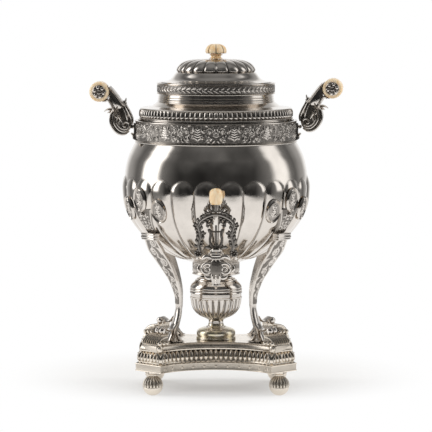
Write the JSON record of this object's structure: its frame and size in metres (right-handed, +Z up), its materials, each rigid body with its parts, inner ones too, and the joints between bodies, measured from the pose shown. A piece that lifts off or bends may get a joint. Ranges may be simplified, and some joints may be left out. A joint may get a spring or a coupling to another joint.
{
  "type": "samovar",
  "caption": "Silver hot-water urn with a lobed body, a front tap and ivory-roll handles, standing on scroll legs over a spirit lamp on a moulded base with ball feet.",
  "frame": {"origin": "on the upright axis of the urn, in the plane that the four ball feet rest on", "axes": "+Z up; the tap faces -Y; the handles lie along X"},
  "size_m": [0.3326, 0.2817, 0.4533],
  "materials": {
    "silver": "polished",
    "gilt": "polished",
    "ivory": "satin",
    "wick": "matte"
  },
  "bodies": {
    "urn": {"base_plinth": "silver", "base_slab": "silver", "wind_collar": "silver", "body_shell": "silver", "body_band": "silver", "shoulder_neck": "silver", "tap_casting": "silver", "tap_flange": "silver", "tap_nut": "silver", "ball_foot_front_left": "silver", "corner_block_front_left": "silver", "leg_front_left": "silver", "palmette_front_left": "silver", "ball_foot_front_right": "silver", "corner_block_front_right": "silver", "leg_front_right": "silver", "palmette_front_right": "silver", "ball_foot_back_left": "silver", "corner_block_back_left": "silver", "leg_back_left": "silver", "palmette_back_left": "silver", "ball_foot_back_right": "silver", "corner_block_back_right": "silver", "leg_back_right": "silver", "palmette_back_right": "silver", "handle_bracket_left": "silver", "handle_scroll_left": "silver", "roll_pin_left": "silver", "roll_cap_front_left": "silver", "roll_cap_back_left": "silver", "handle_bracket_right": "silver", "handle_scroll_right": "silver", "roll_pin_right": "silver", "roll_cap_front_right": "silver", "roll_cap_back_right": "silver", "handle_roll_left": "ivory", "handle_roll_right": "ivory"},
    "lamp": {"lamp_foot": "gilt", "lamp_bowl": "silver", "lamp_shoulder": "silver", "lamp_font": "gilt", "wick_tube": "gilt", "wick": "wick"},
    "tap_key": {"tap_plug": "silver", "key_wreath": "silver", "key_lyre": "silver", "key_finial": "ivory"},
    "lid": {"lid_rim": "silver", "lid_dome": "silver", "knob_pin": "silver", "knob_nut": "silver", "knob_stem": "ivory", "knob_cap": "ivory"}
  },
  "joints": [
    {"name": "lid_lift", "type": "slide", "parent": "urn", "child": "lid", "axis": [0, 0, 1], "range_m": [0, 0.06]},
    {"name": "tap_turn", "type": "hinge", "parent": "urn", "child": "tap_key", "pos_m": [0, -0.147, 0.176], "axis": [0, 0, 1], "range_deg": [0, 90]},
    {"name": "lamp_draw", "type": "slide", "parent": "urn", "child": "lamp", "axis": [0, 1, 0], "range_m": [0, 0.11]}
  ]
}
